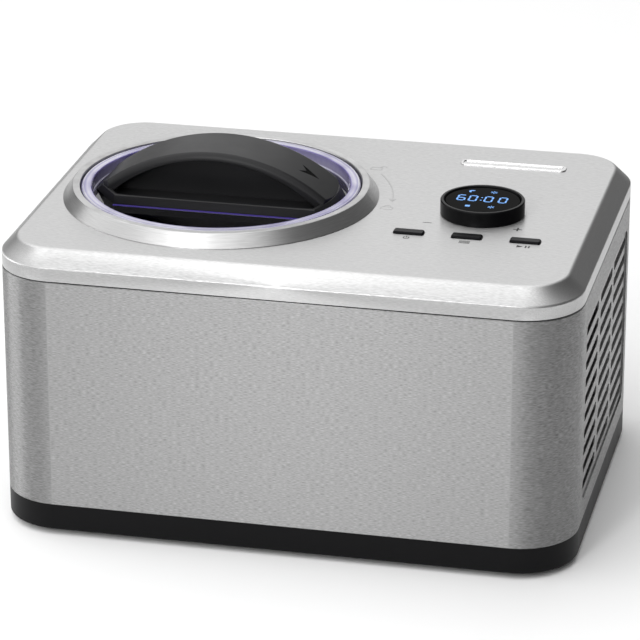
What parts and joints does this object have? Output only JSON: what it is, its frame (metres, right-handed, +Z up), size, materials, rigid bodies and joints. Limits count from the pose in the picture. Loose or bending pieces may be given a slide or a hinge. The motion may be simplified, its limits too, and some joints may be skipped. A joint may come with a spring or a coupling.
{
  "type": "ice cream maker",
  "caption": "Countertop compressor ice cream maker: brushed steel case, round clear lid with arched handle, lift-out bowl and paddle, display knob and push buttons.",
  "frame": {"origin": "on the standing surface, under the middle of the case's plan", "axes": "+X to the right along the long front, +Y to the back, +Z up; the front faces -Y"},
  "size_m": [0.39, 0.284, 0.239],
  "materials": {
    "brushed_steel": "fine brushed grain along the width",
    "grille_steel": "pressed sheet, darker satin",
    "screw_steel": "zinc plated",
    "shaft_steel": "ground steel",
    "black_base": "fine moulded texture",
    "foot_rubber": "matt rubber",
    "gland_black": "moulded",
    "handle_black": "satin moulded",
    "knob_black": "satin gloss",
    "display_glass": "glossy dark window",
    "button_black": "gloss",
    "circuit_board": "solder mask",
    "encoder_grey": "moulded",
    "lid_clear": "clear moulded plastic with a violet tint",
    "gasket_silicone": "silicone",
    "bowl_aluminium": "spun satin",
    "chamber_aluminium": "drawn",
    "paddle_white": "moulded",
    "insulation_foam": "foam",
    "copper": "drawn copper",
    "condenser_metal": "mill finish fins",
    "compressor_paint": "black enamel",
    "relay_plastic": "moulded",
    "motor_steel": "zinc",
    "gear_plastic": "acetal",
    "gearbox_plastic": "moulded",
    "bush_bronze": "sintered",
    "fan_black": "moulded",
    "wire_insulation": "pvc"
  },
  "bodies": {
    "housing": {"housing_wrap": "brushed_steel", "top_cover": "brushed_steel", "lid_ring_trim": "brushed_steel", "blank_badge": "brushed_steel", "left_grille": "grille_steel", "right_grille": "grille_steel", "rear_panel": "grille_steel", "rear_panel_screws": "screw_steel", "foot_screws": "screw_steel", "board_screws": "screw_steel", "gearbox_screws": "screw_steel", "compressor_bolts": "screw_steel", "idler_pin": "shaft_steel", "base_tray": "black_base", "inner_frame": "black_base", "rubber_feet": "foot_rubber", "compressor_grommets": "foot_rubber", "shaft_seal": "foot_rubber", "chamber_seal": "foot_rubber", "cable_gland": "gland_black", "display_housing": "knob_black", "display_lens": "display_glass", "control_board": "circuit_board", "power_board": "circuit_board", "rotary_encoder": "encoder_grey", "cooling_chamber": "chamber_aluminium", "insulation_jacket": "insulation_foam", "evaporator_coil": "copper", "filter_drier": "copper", "capillary_tube": "copper", "suction_line": "copper", "discharge_line": "copper", "liquid_line": "copper", "condenser": "condenser_metal", "compressor": "compressor_paint", "relay_cover": "relay_plastic", "terminal_block": "relay_plastic", "drive_motor": "motor_steel", "board_bracket": "motor_steel", "gearbox_base": "gearbox_plastic", "gearbox_cover": "gearbox_plastic", "shaft_bushes": "bush_bronze", "fan_frame": "fan_black", "wire_harness": "wire_insulation"},
    "bowl_body": {"bowl": "bowl_aluminium"},
    "paddle_body": {"mixing_paddle": "paddle_white"},
    "lid_seat": {"lid_gasket": "gasket_silicone"},
    "lid_body": {"lid_cover": "lid_clear", "lid_handle": "handle_black", "lid_screws": "screw_steel"},
    "output_body": {"drive_shaft": "shaft_steel", "output_gear": "gear_plastic"},
    "idler_body": {"idler_gear": "gear_plastic"},
    "motor_rotor": {"motor_shaft": "shaft_steel", "motor_pinion": "shaft_steel"},
    "fan_body": {"fan_rotor": "fan_black"},
    "knob_body": {"knob_ring": "knob_black"},
    "power_button_body": {"power_button": "button_black"},
    "menu_button_body": {"menu_button": "button_black"},
    "start_button_body": {"start_button": "button_black"}
  },
  "joints": [
    {"name": "bowl_lift", "type": "slide", "parent": "housing", "child": "bowl_body", "axis": [0, 0, 1], "range_m": [0, 0.135]},
    {"name": "paddle_spin", "type": "hinge", "parent": "bowl_body", "child": "paddle_body", "pos_m": [-0.0705, -0.006, 0.13], "axis": [0, 0, 1], "continuous": true},
    {"name": "lid_lift", "type": "slide", "parent": "bowl_body", "child": "lid_seat", "axis": [0, 0, 1], "range_m": [0, 0.06]},
    {"name": "lid_turn", "type": "hinge", "parent": "lid_seat", "child": "lid_body", "pos_m": [-0.0705, -0.006, 0.2], "axis": [0, 0, 1], "range_deg": [0, 38]},
    {"name": "output_spin", "type": "hinge", "parent": "housing", "child": "output_body", "pos_m": [-0.0705, -0.006, 0.045], "axis": [0, 0, 1], "continuous": true},
    {"name": "idler_spin", "type": "hinge", "parent": "housing", "child": "idler_body", "pos_m": [-0.0185, -0.006, 0.045], "axis": [0, 0, 1], "continuous": true},
    {"name": "motor_spin", "type": "hinge", "parent": "housing", "child": "motor_rotor", "pos_m": [-0.02527, 0.03241, 0.03], "axis": [0, 0, 1], "continuous": true},
    {"name": "fan_spin", "type": "hinge", "parent": "housing", "child": "fan_body", "pos_m": [0.145, -0.048, 0.088], "axis": [1, 0, 0], "continuous": true},
    {"name": "knob_turn", "type": "hinge", "parent": "housing", "child": "knob_body", "pos_m": [0.11, -0.0055, 0.208], "axis": [0, 0, 1], "continuous": true},
    {"name": "power_press", "type": "slide", "parent": "housing", "child": "power_button_body", "axis": [0, 0, -1], "range_m": [0, 0.0012], "stiffness_N_per_m": 800},
    {"name": "menu_press", "type": "slide", "parent": "housing", "child": "menu_button_body", "axis": [0, 0, -1], "range_m": [0, 0.0012], "stiffness_N_per_m": 800},
    {"name": "start_press", "type": "slide", "parent": "housing", "child": "start_button_body", "axis": [0, 0, -1], "range_m": [0, 0.0012], "stiffness_N_per_m": 800}
  ],
  "couplings": [
    {"joint": "paddle_spin", "follows": "output_spin", "ratio": 1},
    {"joint": "idler_spin", "follows": "output_spin", "ratio": -3.3333},
    {"joint": "motor_spin", "follows": "output_spin", "ratio": 11.111}
  ]
}
